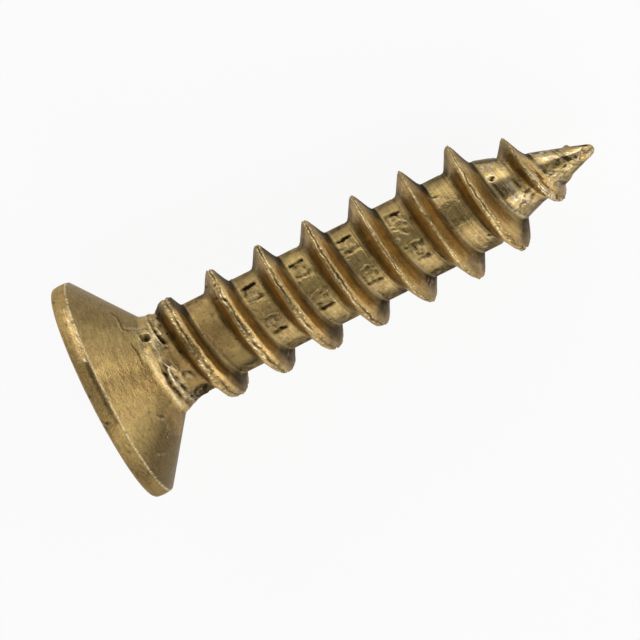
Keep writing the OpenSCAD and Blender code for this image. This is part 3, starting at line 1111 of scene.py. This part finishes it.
class WearAndPaintedLight:
    """Forging, rolling, tumbling and plating marks, and painted light and shade, on the surface."""

    def __init__(self, head: Head, thread: Thread, skin: Skin) -> None:
        """Finds the parts of the thread, and reads the noise that mottles them.

        Args:
            head: The head's sizes.
            thread: The thread's sizes.
            skin: The surface, with every ring in place.
        """
        self.head = head
        self.thread = thread
        self.skin = skin
        self.ripple = Unevenness(41)
        self.speckle = self.ripple.layered(skin.place * 7 + 3)
        self.slow = self.ripple.layered(skin.place * 1.4 + 71)
        self.on_thread = (skin.crest < NO_CREST) & (skin.depth > thread.shank_depth - 0.1)
        self.away = np.abs(skin.crest)
        self.before = skin.crest < 0
        self.foot = np.where(self.before, thread.foot_before, thread.foot_after)
        self.flank = self.on_thread * ease(0.05, 0.14, self.away) * ease(
            self.foot + 0.05, self.foot - 0.02, self.away)
        # Painted shade: the first turn is darker, and its crest less bright, as if in the shadow of
        # the head
        self.first = ease(3.6, 3.2, skin.depth)

    def wear_and_highlight_crests(self) -> None:
        """A dark broken seam between two ragged lips, worn bright, with painted highlights brightest
        on the upper side.
        """
        skin = self.skin
        lips = np.clip(-skin.seam, 0, 1)
        seam = np.clip(skin.seam, 0, 1)
        fine = self.ripple.layered(skin.place * 15 + 8, 2)
        # Painted highlight: brighter lips towards the head and on the upper side, dimmer on the first
        # turn and on the other side
        bright = np.where(self.before, 0.85, 0.45) - 0.4 * self.first
        bright += 0.3 * ease(0.3, 0.7, skin.across) - 0.7 * ease(-0.3, -0.72, skin.across)
        skin.stain(worn=lips * np.clip(bright + 0.7 * self.speckle + 2.2 * fine, 0, 1.5),
                   crevice=seam * np.clip(0.8 + 1.4 * self.speckle, 0.25, 1), lift=0.008 * lips * fine)
        skin.stain(crevice=0.6 * lips * ease(0.15, 0.6, -fine),
                   brown=0.5 * self.on_thread * (self.away < 0.3))

    def wear_and_shade_flanks(self) -> None:
        """Brown flanks, streaked along the helix, dark at their feet and towards the sides."""
        skin, flank, across = self.skin, self.flank, self.skin.across
        before, after = self.before, ~self.before
        # Painted light and shade: lighter near the crest, darker towards the foot and on the first
        # turn
        down = ease(0.1, self.foot - 0.02, self.away)
        shade = np.where(before, 0.35 - 0.45 * down - 0.35 * self.first,
                         0.6 - 0.95 * down**2 - 0.45 * self.first)
        streak = self.ripple.layered(skin.weave * (9, 9, 6) + 31)
        skin.stain(tone=flank * (shade + 0.18 * streak), brown=0.5 * flank,
                   matt=flank * (0.1 + 0.25 * self.slow),
                   lift=0.006 * flank * self.ripple.at(skin.place * 2.2 + 40))
        # Painted shade and light by side: change of tone, the flanks that it is on, and where it comes
        # in round the screw
        for tone, side, start, full in (
                (-0.1, 1, 0.8, 0.95), (-0.1, 1, -0.8, -0.95), (-0.85, after, 0.6, 0.8),
                (-0.2, after, -0.6, -0.8), (-0.15, after, -0.2, -0.6), (0.3, before, -0.55, -0.75)):
            skin.stain(tone=tone * flank * side * ease(start, full, across))
        # Painted shade: a darker strip on the flanks of one side
        skin.stain(crevice=0.4 * flank * after * ease(0.7, 0.9, across) * ease(0.1, 0.35, self.away))

    def wear_and_shade_roots(self) -> None:
        """Dirt in both roots, a bare line beside one and a rolled groove beside the other."""
        skin, slow, foot = self.skin, self.slow, self.foot
        lower = ease(0.1, -0.5, skin.across) * ease(-0.95, -0.78, skin.across)
        root = self.on_thread * np.exp(-(((self.away - foot - 0.01) / 0.05) ** 2))
        dirt_and_shade = np.where(self.before, np.clip(0.45 + 0.5 * slow, 0, 0.9),
                        np.clip(0.65 + 0.4 * slow, 0, 0.9) * (1 - 0.4 * lower))
        beside = ease(foot, foot + 0.04, skin.crest) * ease(foot + 0.25, foot + 0.12, skin.crest)
        line = self.on_thread * np.exp(-(((skin.crest - foot - 0.05) / 0.026) ** 2))
        groove = self.on_thread * np.exp(-(((skin.crest + foot + 0.12) / 0.022) ** 2))
        groove = groove * ease(4.5, 7, skin.depth)
        # Painted shade: darker beside the roots on one side
        skin.stain(crevice=root * dirt_and_shade + 0.7 * groove * np.clip(0.6 + 0.8 * slow, 0, 1),
                   tone=lower * (0.05 * line - 0.3 * self.on_thread * beside),
                   bare=line * np.clip(0.9 * slow + 0.7 * lower, 0, 1.2), lift=-0.018 * groove)

    def wear_and_shade_lands(self) -> None:
        """Lands that are matt near the head and polished near the point."""
        skin = self.skin
        land = self.on_thread * ease(*LAND_EDGE, self.away)
        matt = np.interp(skin.depth, [3, 4.5, 5.5, 11.5], [1.6, 1.6, 0.5, 0.1])
        # Painted shade: the lands darken towards one side
        under = ease(-0.72, -0.9, skin.across) * np.where(skin.depth < 10, 0.2, 0.35)
        skin.stain(matt=land * matt, tone=-land * (np.where(skin.depth < 5, 0.0, 0.1) + under))

    def matt_and_shade_sides(self) -> None:
        """Sides of the thread: matt and mottled, with painted shade and a painted grey reflection."""
        skin, speckle, slow, flank = self.skin, self.speckle, self.slow, self.flank
        # Painted shade and a painted grey reflection towards both sides, and painted light on one
        # side's flanks
        aside = self.on_thread * ease(0.72, 0.98, np.abs(skin.across) + 0.08 * slow)
        painted_side_light = 0.2 * flank * ~self.before * ease(-0.2, -0.5, skin.across) * (1 - aside)
        skin.stain(bare=aside * np.clip(0.3 + 0.5 * speckle, 0, 0.8) * (0.35 + 0.65 * flank),
                   tone=painted_side_light - aside * np.clip(0.2 + 0.25 * slow + 0.25 * flank, 0, 0.6),
                   matt=0.7 * aside, crevice=0.5 * aside * ease(0.4, 0.95, -speckle))

    def wear_and_shade_head(self) -> None:
        """A rubbed edge, a brown rim, and a cone that is darker towards its sides."""
        skin, across = self.skin, self.skin.across
        outside = skin.zone >= Zone.RIM
        upright = skin.zone == Zone.RIM
        cone = skin.zone == Zone.CONE
        speckle = self.ripple.layered(skin.place * 6 + 3)
        edge = outside * np.exp(-(((skin.depth - self.head.rim + 0.005) / 0.02) ** 2))
        edge = edge * (skin.radius > self.head.radius - 0.06)
        turned = outside * ease(0.1, 0.02, skin.depth) * ease(3.26, 3.3, skin.radius)
        skin.stain(worn=edge * np.clip(0.9 + 0.8 * speckle, 0, 1.3), lift=0.007 * speckle * edge,
                   matt=1.0 * upright, brown=0.6 * upright + 0.15 * cone)
        # Wear on the turned-over edge, and painted shade on one side of the rim
        skin.stain(worn=0.5 * turned * np.clip(0.6 + 0.6 * speckle, 0, 1),
                   tone=-0.3 * upright * ease(-0.4, -0.75, across))
        # Painted shade darkens and browns the cone towards its sides, and two painted highlight bands
        # run down it
        shade = 0.14 - 0.6 * ease(0.25, 0.85, across) - 0.8 * ease(-0.35, -0.8, across)
        for strength, middle, width in ((0.3, -0.2, 0.14), (0.35, 0.18, 0.1)):
            shade += strength * np.exp(-(((across - middle) / width) ** 2))
        brown = 0.3 * ease(0.5, 0.85, across) + 0.8 * ease(-0.5, -0.85, across)
        skin.stain(tone=cone * shade, brown=cone * brown)

    def wear_face(self) -> None:
        """A mottled face with a dark ring inside its edge, and a recess that is dark inside."""
        skin = self.skin
        face = skin.zone == Zone.FACE
        recess = skin.zone == Zone.RECESS
        speckle = self.ripple.layered(skin.place * 6 + 3)
        blotch = self.ripple.layered(skin.place * 4 + 50)
        ring = np.exp(-(((skin.radius - 3.21) / 0.018) ** 2))
        skin.stain(lift=face * 0.006 * self.ripple.layered(skin.place * (1.5, 1.5, 1) + 90),
                   crevice=face * (ring + 0.3 * ease(0.45, 0.95, blotch)), matt=0.4 * face,
                   worn=face * ease(3.23, 3.26, skin.radius) * np.clip(0.8 + speckle, 0, 1))
        bevel = self.head.recess.bevel
        mouth = recess * ease(bevel * 1.1, bevel * 0.5, skin.depth)
        foot = ease(1.5, 1.68, skin.depth)
        skin.stain(worn=mouth * np.clip(0.5 + 0.8 * speckle, 0, 1), tone=0.3 * mouth,
                   crevice=recess * ease(bevel, 0.5, skin.depth) * (0.75 - 0.55 * foot),
                   brown=recess * foot)

    def strokes(self, mark: DieMark, draw: np.random.Generator) -> list[Flaw]:
        """Random tears inside a die mark, and one along its shallow edge.

        Args:
            mark: The mark that they lie in.
            draw: Where the random numbers come from.

        Returns:
            The tears.
        """
        far = -mark.side
        routes = [[(0.8 * far, -0.9), (1.05 * far, draw.uniform(-0.3, 0.3)), (0.75 * far, 0.9)]]
        for _ in range(3):
            start = draw.uniform(-0.7, 0.7, 2)
            run = draw.uniform(0.25, 0.5, 2) * draw.choice((-1, 1), 2)
            bend = start + run / 2 + draw.normal(size=2) * 0.1
            routes.append([start, bend, np.clip(start + run, -0.8, 0.8)])
        found: list[Flaw] = []
        for route in routes:
            across, along = np.array(route).T
            turned = np.degrees(across * mark.width / 2 / self.thread.core)
            depth = mark.depth + along * mark.length / 2 + PITCH * turned / 360
            found.append(Crack(tuple(zip(mark.angle + turned, depth)), draw.uniform(0.028, 0.036),
                               0.018, 0.003, dark=draw.uniform(0.4, 0.8), worn=0.0))
        return found

    def lands(self) -> list[Flaw]:
        """Die marks at the same angles on four turns, and the bands and pits beside them.

        Returns:
            Those flaws.
        """
        found: list[Flaw] = []
        draw = np.random.default_rng(23)
        for turn in range(1, 5):
            # A mark lies mid-way along its land, and the earlier row was pressed harder
            start = self.thread.first_crest + PITCH * turn + 0.7
            # The last number is how dark each mark's painted shadow line is
            for angle, side, shadow_line in ((147.7, Side.EARLIER, 1.5), (198.5, Side.LATER, 1.0)):
                found.append(DieMark(angle, start + PITCH * angle / 360, side, shadow_line))
                found += self.strokes(found[-1], draw)
        end = self.thread.point_depth
        marked = (self.thread.first_crest + 1.7 * PITCH, end)
        plain = (self.thread.shank_depth, end)
        unmarked = (3.5, 4.6)
        band = partial(Patch, land_only=True)
        # Bands along the lands at fixed angles: their tone is painted highlight and painted shade;
        # roughness and lumps are the die's
        return found + [
            band((154, 192), marked, matt=-0.5, soft=0.06),
            band((163, 183), marked, tone=0.6, soft=0.06),
            band((120, 136), marked, tone=0.12, matt=0.3, soft=0.06),
            band((98, 116), plain, tone=-0.15, matt=0.5, lump=0.014, wave=0.15, crevice=0.5,
                 soft=0.05),
            band((206, 238), marked, tone=0.16, matt=0.1, lump=0.01, wave=0.12, worn=0.35,
                 crevice=0.15),
            band((236, 262), plain, tone=-0.12, matt=0.3, lump=0.022, wave=0.16, crevice=0.6,
                 worn=0.4, soft=0.06),
            band((112, 134), unmarked, tone=0.35),
            band((205, 240), unmarked, tone=-0.2),
            band((20, 60), plain, tone=0.15, matt=0.4, lump=0.008, wave=0.12),
            band((300, 345), plain, tone=-0.15, matt=-0.3),
            Patch((150, 160), (3.8, 4.1), lump=0.02, wave=0.1, crevice=0.4, worn=0.4, soft=0.05),
            Pit(152, 12.98, 0.075, 0.07),
            Pit(121, 12.92, 0.04, 0.04, 0.8),
            Pit(118, 13.29, 0.04, 0.04, 0.8),
            Pit(177, 5.07, 0.045, -0.05, 0.0),
            Pit(174, 9.78, 0.05, -0.05, 0.3),
            Pit(213, 12.28, 0.05, 0.04),
            Crack(((163, 10.0), (171, 10.12), (168, 10.2)), cut=0.04),
            Crack(((140, 11.2), (146, 11.46)), cut=0.03),
            Crack(((222, 12.1), (225, 12.22), (232, 12.31)), 0.035, 0.05),
        ]

    def head_flaws(self) -> list[Flaw]:
        """Nicks in the rim, the burnished band beside its edge, and pits in the cone.

        Returns:
            Those flaws.
        """
        rim = self.head.rim
        found: list[Flaw] = [
            # A patch of painted shade on the rim, then the burnished band beside the edge, whose
            # brightness is a painted highlight
            Patch((162, 196), (rim - 0.15, rim - 0.04), tone=-0.6, crevice=0.5, wave=0.05,
                  around=0.1, lump=0.006, soft=0.06),
            Patch((128, 162), (rim - 0.22, rim - 0.02), tone=0.3, matt=-0.6, worn=1.7, lump=0.014,
                  wave=0.05, around=0.07, crevice=0.6, soft=0.05),
            Patch((205, 240), (0.1, rim), tone=-0.1, lump=0.006, wave=0.1, around=0.1, crevice=0.4),
            Patch((205, 240), (0.8, 1.6), lump=0.008, wave=0.14, crevice=0.25),
            Crack(((193, 0.02), (194, 0.24)), 0.03, 0.035),
        ]
        draw = np.random.default_rng(7)
        for _ in range(320):
            angle, depth = draw.uniform(0, 360), draw.uniform(rim + 0.1, self.head.neck_depth)
            size = draw.uniform(0.018, 0.036)
            found.append(Pit(angle, depth, size, draw.choice((-0.4, 1)) * size * 0.35, 0.3))
        for _ in range(60):
            angle, depth = draw.uniform(0, 360), draw.uniform(0.05, rim - 0.05)
            found.append(Pit(angle, depth, draw.uniform(0.02, 0.035), 0.01, 0.5))
        for _ in range(24):
            angle, depth = draw.uniform(0, 360), draw.choice((0.06, rim))
            found.append(Pit(angle, depth, 0.05, draw.uniform(0.01, 0.03), 0.5))
        return found

    def specks(self) -> list[Flaw]:
        """Specks of swarf at the roots, and dark pinholes in the flanks and lands.

        Returns:
            Those flaws.
        """
        draw = np.random.default_rng(19)
        found: list[Flaw] = []
        for count, at_root in ((80, True), (160, False)):
            for _ in range(count):
                turns = draw.integers(0, 7) + draw.random()
                crest = self.thread.first_crest + PITCH * turns
                if at_root:
                    depth = crest + draw.choice((-0.47, 0.47)) + draw.normal() * 0.02
                    sizes = (draw.uniform(0.02, 0.045), draw.choice((-0.025, 0.025)),
                             draw.uniform(0, 1))
                else:
                    depth = crest + draw.uniform(0.15, 1.4)
                    sizes = (draw.uniform(0.015, 0.032), 0.008, draw.uniform(0.3, 0.9))
                found.append(Pit(360 * turns, depth, *sizes))
        return found

    def apply(self) -> None:
        """Adds all the wear and painted light and shade to the surface, and moves its points."""
        for wear in (self.wear_and_highlight_crests, self.wear_and_shade_flanks, self.wear_and_shade_roots, self.wear_and_shade_lands,
                     self.matt_and_shade_sides, self.wear_and_shade_head, self.wear_face):
            wear()
        # The whole blank is a little out of true
        skin = self.skin
        skin.stain(lift=0.004 * (skin.zone >= Zone.CONE) * self.ripple.at(skin.place * 0.9))
        flaws = [*NECK_FLAWS, *self.lands(), *CREST_FLAWS, *POINT_FLAWS, *self.head_flaws(),
                 *self.specks()]
        for flaw in flaws:
            flaw.apply(skin, self.ripple)
        skin.settle()
        LOG.info("wear: %d flaws", len(flaws))


# --- Finish --------------------------------------------------------------------------------------
def start_tree(owner: bpy.types.Material | bpy.types.World) -> bpy.types.NodeTree:
    """Empties a node tree.

    Args:
        owner: The material or the world that it belongs to.

    Returns:
        The tree.
    """
    owner.use_nodes = True
    owner.node_tree.nodes.clear()
    return owner.node_tree


def add_node(tree: bpy.types.NodeTree, kind: str, inputs: dict | None = None,
             out: str | int = 0, **settings) -> bpy.types.NodeSocket:
    """Adds a node with its settings and links.

    Args:
        tree: The node tree that it joins.
        kind: The node's type.
        inputs: What each input takes, by its name or its place among those in use: an output
            socket or a value.
        out: The output that is given back, by its name or its place among those in use.
        settings: The node's own properties.

    Returns:
        The output's socket, or None for a node without one.
    """
    node = tree.nodes.new(kind)
    for name, value in settings.items():
        setattr(node, name, value)
    used = [socket for socket in node.inputs if socket.enabled]
    named = {socket.name: socket for socket in reversed(used)}
    for key, value in (inputs or {}).items():
        socket = used[key] if isinstance(key, int) else named[key]
        if isinstance(value, bpy.types.NodeSocket):
            tree.links.new(value, socket)
        else:
            socket.default_value = value
    outs = [socket for socket in node.outputs if socket.enabled]
    if isinstance(out, str):
        return node.outputs[out]
    return outs[out] if outs else None


@dataclass(frozen=True)
class AntiqueBrass:
    """Antique brass plating on steel: brass, darkened in a sulphide bath and tumbled back.

    The relief is bright and pale where the barrel polished it, olive on the flats, brown between
    the threads, and nearly black in the hollows that the tumbling stones never reach. The same
    pale, dark and grey colours also paint highlights, reflections and shade.
    """

    olive: str = "#B59D64"
    khaki: str = "#A88E5E"
    brown: str = "#A98C59"
    # Pale for worn relief and painted highlights, near black for oxide and painted shade, grey for
    # thin plating and a painted reflection
    rubbed_and_highlight: str = "#F0DFB6"
    oxide_and_shade: str = "#2A2011"
    thin_and_sheen: str = "#A79F94"
    # What the oxide film leaves of a grazing reflection
    edge_tint: str = "#E7DFD3"
    roughness: float = 0.37
    # Sizes in millimetres: mottling of the bath, grain of the tumbling, lines of the die
    mottle: float = 0.9
    cloud: float = 0.28
    grain: float = 0.06
    brushing: float = 0.06
    speck: float = 0.24

    def material(self) -> bpy.types.Material:
        """Builds the finish.

        Returns:
            The material.
        """
        made = bpy.data.materials.new("antique_brass_plating")
        add = partial(add_node, start_tree(made))
        mark = {name: add("ShaderNodeAttribute", attribute_name=name, out="Fac") for name in MARKS}
        place, weave = [add("ShaderNodeAttribute", attribute_name=name, out="Vector")
                        for name in ("place", "weave")]
        noise = {
            name: add("ShaderNodeTexNoise", {"Vector": vector, "Scale": 1 / size, "Detail": detail,
                                             "Roughness": 0.6})
            for name, vector, size, detail in (
                ("mottle", place, self.mottle, 4), ("cloud", place, self.cloud, 3),
                ("grain", place, self.grain, 3), ("lines", weave, self.brushing, 3))
        }
        cells = add("ShaderNodeTexVoronoi", {"Vector": place, "Scale": 1 / self.speck})
        # Each share goes from one number to another while its value goes from low to high
        share = {
            name: add("ShaderNodeMapRange", {"Value": value, "From Min": low, "From Max": high,
                                             "To Min": start, "To Max": end})
            for name, value, low, high, start, end in (
                ("specks", cells, 0.05, 0.16, 1.0, 0.0),
                ("khaki", noise["mottle"], 0.38, 0.62, 0.0, 1.0),
                ("blurred", mark["matt"], 0.5, 1.6, 0.0, 0.75),
                ("rubbed_and_highlight", noise["grain"], 0.38, 0.58, 0.2, 1.0),
                ("coarse", mark["matt"], -1.0, 0.2, 0.15, 1.0))
        }
        noise["lines"] = add("ShaderNodeMix", {0: share["blurred"], 1: noise["lines"], 2: 0.5})
        for name, value, strength, start in (
                ("bare", mark["bare"], 0.8, 0.0), ("worn", mark["worn"], share["rubbed_and_highlight"], 0.0),
                ("dirt_and_shade", share["specks"], 0.3, mark["crevice"])):
            share[name] = add("ShaderNodeMath", {0: value, 1: strength, 2: start},
                              operation="MULTIPLY_ADD", use_clamp=True)

        # Olive and khaki drift into each other, brown takes over between the threads and is painted
        # shade on the cone's sides, and grey is thin plating and a painted reflection
        colour = linear(self.olive)
        for part, tint in ((share["khaki"], self.khaki), (mark["brown"], self.brown),
                           (share["bare"], self.thin_and_sheen)):
            colour = add("ShaderNodeMix", {0: part, 1: colour, 2: linear(tint)}, data_type="RGBA")
        # Lighter and darker areas, among them painted light and shade, multiply the plating's colour
        strengths = {"grain": 0.9, "cloud": 0.8, "lines": 1.2}
        mottled = 1 - sum(strengths.values()) / 2
        for name, strength in strengths.items():
            mottled = add("ShaderNodeMath", {0: noise[name], 1: strength, 2: mottled},
                          operation="MULTIPLY_ADD")
        tone = mark["tone"]
        for other, operation in ((1.0, "ADD"), (0.2, "MAXIMUM"), (mottled, "MULTIPLY")):
            tone = add("ShaderNodeMath", {0: tone, 1: other}, operation=operation)
        colour = add("ShaderNodeVectorMath", {0: colour, "Scale": tone}, operation="SCALE")
        # The pale colour is wear and painted highlight, the dark one oxide, dirt and painted shade
        for part, tint in ((share["worn"], self.rubbed_and_highlight), (share["dirt_and_shade"], self.oxide_and_shade)):
            colour = add("ShaderNodeMix", {0: part, 1: colour, 2: linear(tint)}, data_type="RGBA")

        rough = self.roughness - 0.1
        for value, strength in ((mark["matt"], 0.2), (noise["grain"], 0.2), (share["dirt_and_shade"], 0.25)):
            rough = add("ShaderNodeMath", {0: value, 1: strength, 2: rough},
                        operation="MULTIPLY_ADD")
        rough = add("ShaderNodeMath", {0: rough, 1: 0.18}, operation="MAXIMUM", use_clamp=True)
        # Heights in metres
        height = 0.0
        for value, strength in ((noise["grain"], 1.5e-5), (noise["cloud"], 2.4e-5),
                                (noise["lines"], 8e-6), (share["specks"], -6e-6)):
            height = add("ShaderNodeMath", {0: value, 1: strength, 2: height},
                         operation="MULTIPLY_ADD")
        bump = add("ShaderNodeBump", {"Height": height, "Distance": share["coarse"],
                                      "Strength": 1.0})
        shader = add("ShaderNodeBsdfPrincipled", {
            "Base Color": colour, "Metallic": 1.0, "Roughness": rough, "Normal": bump,
            "Specular Tint": linear(self.edge_tint),
        })
        add("ShaderNodeOutputMaterial", {"Surface": shader})
        return made


# --- The piece -----------------------------------------------------------------------------------
def add_object(name: str, data: bpy.types.ID) -> bpy.types.Object:
    """Adds an object to the scene.

    Args:
        name: The object's name.
        data: The mesh, lamp or camera that it carries.

    Returns:
        The object.
    """
    made = bpy.data.objects.new(name, data)
    bpy.context.scene.collection.objects.link(made)
    return made


class Screw:
    """The self-tapping screw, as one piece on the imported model's axis."""

    def __init__(self, record: dict) -> None:
        """Reads the screw's place from the record and sets its parts' sizes.

        Args:
            record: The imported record.
        """
        mount = next(m for m in record["mounts"] if m["name"] == "head_face")
        self.foot = np.array(mount["pos_m"])
        self.axis = -np.array(mount["axis"])
        self.head = Head()
        self.thread = Thread(self.head.neck_depth, self.head.neck_radius)
        self.finish = AntiqueBrass()

    def surface(self) -> Skin:
        """Lays out the closed surface, wears it and paints light and shade onto it.

        Returns:
            The worn and painted surface.
        """
        skin = Skin()
        ripple = Unevenness(11)
        cone_end = self.head.build(skin, ripple)
        last = self.thread.build(skin, ripple, cone_end)
        self.thread.close_tip(skin, last)
        skin.close()
        WearAndPaintedLight(self.head, self.thread, skin).apply()
        return skin

    def build(self) -> bpy.types.Object:
        """Makes the piece and dresses it.

        Returns:
            The screw's object.
        """
        skin = self.surface()
        quads, triangles = skin.faces()
        side = np.array([0.0, 1.0, 0.0])
        down = np.cross(side, self.axis)
        world = self.foot + skin.place @ np.array([down, side, self.axis]) * MM
        mesh = bpy.data.meshes.new("brass_screw")
        mesh.from_pydata(world.tolist(), [], quads.tolist() + triangles.tolist())
        mesh.validate()
        mesh.shade_smooth()
        for name in MARKS:
            mesh.attributes.new(name, "FLOAT", "POINT").data.foreach_set(
                "value", skin.mark[name].astype(np.float32))
        for name, values in (("place", skin.place), ("weave", skin.weave)):
            mesh.attributes.new(name, "FLOAT_VECTOR", "POINT").data.foreach_set(
                "vector", values.astype(np.float32).ravel())
        mesh.materials.append(self.finish.material())
        piece = add_object("brass_screw", mesh)
        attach(piece, "root")
        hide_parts("screw")
        LOG.info("brass_screw: %d points, %d triangles", skin.count, 2 * len(quads) + len(triangles))
        return piece


# --- Studio --------------------------------------------------------------------------------------
def hang(aim: Vector, heading: float, lean: float, roll: float, distance: float) -> Matrix:
    """Finds the place and turn of a lamp or a camera that faces a point.

    Args:
        aim: The point that it faces.
        heading: Degrees round it, from the way that the screw points.
        lean: Degrees from overhead.
        roll: Degrees about its own axis.
        distance: How far from the point it hangs.

    Returns:
        The matrix of its object.
    """
    turned = Matrix.Translation(aim)
    for degrees, axis in ((heading, "Z"), (lean, "Y"), (roll, "Z")):
        turned = turned @ Matrix.Rotation(math.radians(degrees), 4, axis)
    return turned @ Matrix.Translation((0, 0, distance))


@dataclass(frozen=True)
class SoftBox:
    """A rectangular soft box, by its heading round the screw and its lean from overhead."""

    name: str
    heading: float
    lean: float
    width: float
    height: float
    power: float

    def build(self, aim: Vector, distance: float) -> None:
        """Hangs the box, facing the screw.

        Args:
            aim: The point that it faces.
            distance: How far from it the box hangs.
        """
        lamp = bpy.data.lights.new(self.name, "AREA")
        lamp.shape = "RECTANGLE"
        lamp.size, lamp.size_y = self.width, self.height
        lamp.energy = self.power
        # It is rolled so that its width lies level
        box = add_object(self.name, lamp)
        box.matrix_world = hang(aim, self.heading, self.lean, 90, distance)


@dataclass(frozen=True)
class Studio:
    """A pale floor, three soft boxes, a surround that is dim overhead, and the camera."""

    floor_size: float = 3.0
    floor_colour: str = "#F4F4F3"
    # The camera looks down, leaning from the vertical towards the point, and is rolled
    lean: float = 13.8
    roll: float = 26.7
    distance: float = 0.25
    frame_width: float = 18.51 * MM
    sensor: float = 36.0
    clip: tuple[float, float] = (0.01, 10.0)
    # The point that it looks at, in millimetres from the head and to the side of the axis
    aim_along: float = 6.605
    aim_side: float = -0.90
    # A box on each side of the screw and one beyond its point
    boxes: tuple[SoftBox, ...] = (
        SoftBox("box_left", 79, 70, 0.75, 0.5, 1.75), SoftBox("box_right", -79, 57, 0.75, 0.6, 2.0),
        SoftBox("box_front", 0, 66, 0.6, 0.6, 1.1))
    box_distance: float = 0.6
    # The surround's strength, and its strength in the dim part, which starts and ends where the
    # direction's share of straight overhead has these two values
    sky: float = 0.55
    ceiling: float = 0.21
    ceiling_edge: tuple[float, float] = (0.7, 0.82)
    gap_lean: float = 10.0
    # How much of the board's own white shows through the shadow
    glow: float = 0.9

    def add_floor(self) -> None:
        """Adds the floor, under the lowest point of the screw."""
        low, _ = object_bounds()
        half = self.floor_size / 2
        corners = [(x * half, y * half, min(0.0, low.z))
                   for x, y in ((-1, -1), (1, -1), (1, 1), (-1, 1))]
        mesh = bpy.data.meshes.new("floor")
        mesh.from_pydata(corners, [], [(0, 1, 2, 3)])
        made = bpy.data.materials.new("matt_white_board")
        add = partial(add_node, start_tree(made))
        board = add("ShaderNodeBsdfDiffuse", {"Color": linear(self.floor_colour)})
        white = add("ShaderNodeEmission", {"Strength": 1.0})
        # The camera and the metal see a white board with a light shadow
        seen, shiny = [add("ShaderNodeLightPath", out=f"Is {ray} Ray")
                       for ray in ("Camera", "Glossy")]
        seen = add("ShaderNodeMath", {0: seen, 1: shiny}, operation="MAXIMUM")
        share = add("ShaderNodeMath", {0: seen, 1: self.glow}, operation="MULTIPLY")
        shader = add("ShaderNodeMixShader", {0: share, 1: board, 2: white})
        add("ShaderNodeOutputMaterial", {"Surface": shader})
        mesh.materials.append(made)
        floor = add_object("floor", mesh)
        floor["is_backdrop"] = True

    def add_sky(self) -> None:
        """Adds an even surround that is dim straight overhead, where the camera stands."""
        world = bpy.data.worlds.new("studio")
        add = partial(add_node, start_tree(world))
        direction = add("ShaderNodeTexCoord", out="Generated")
        lean = math.radians(self.gap_lean)
        over = (0.0, math.sin(lean), math.cos(lean))
        height = add("ShaderNodeVectorMath", {0: direction, 1: over}, out="Value",
                     operation="DOT_PRODUCT")
        start, end = self.ceiling_edge
        strength = add("ShaderNodeMapRange", {
            "Value": height, "From Min": start, "From Max": end, "To Min": self.sky,
            "To Max": self.ceiling,
        })
        light = add("ShaderNodeBackground", {"Strength": strength})
        add("ShaderNodeOutputWorld", {"Surface": light})
        bpy.context.scene.world = world

    def add_camera(self, aim: Vector) -> None:
        """Adds the camera.

        Args:
            aim: The point in the middle of its view.
        """
        data = bpy.data.cameras.new("camera")
        data.sensor_width = self.sensor
        data.lens = self.sensor * self.distance / self.frame_width
        data.clip_start, data.clip_end = self.clip
        camera = add_object("camera", data)
        camera.matrix_world = hang(aim, 0, self.lean, -self.roll, self.distance)
        bpy.context.scene.camera = camera

    def build(self, screw: Screw) -> None:
        """Sets the stage around the screw.

        Args:
            screw: The screw that it is built for.
        """
        point = screw.foot + screw.axis * self.aim_along * MM
        aim = Vector(point) + Vector((0, self.aim_side * MM, 0))
        self.add_floor()
        self.add_sky()
        for box in self.boxes:
            box.build(aim, self.box_distance)
        self.add_camera(aim)
        bpy.context.scene.view_settings.view_transform = "Standard"
        LOG.info("studio: floor, sky, %d soft boxes and the camera", len(self.boxes))


def write_sizes() -> None:
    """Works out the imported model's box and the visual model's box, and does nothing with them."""
    boxes = {"cad": cad_box, "visual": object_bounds()}
    {name: [list(corner) for corner in box] for name, box in boxes.items()}


def main() -> None:
    """Builds the screw, then the studio around it."""
    logging.basicConfig(level=logging.INFO, format="%(name)s: %(message)s")
    screw = Screw(frame["record"])
    screw.build()
    Studio().build(screw)
    write_sizes()


if __name__ == "__main__":
    main()
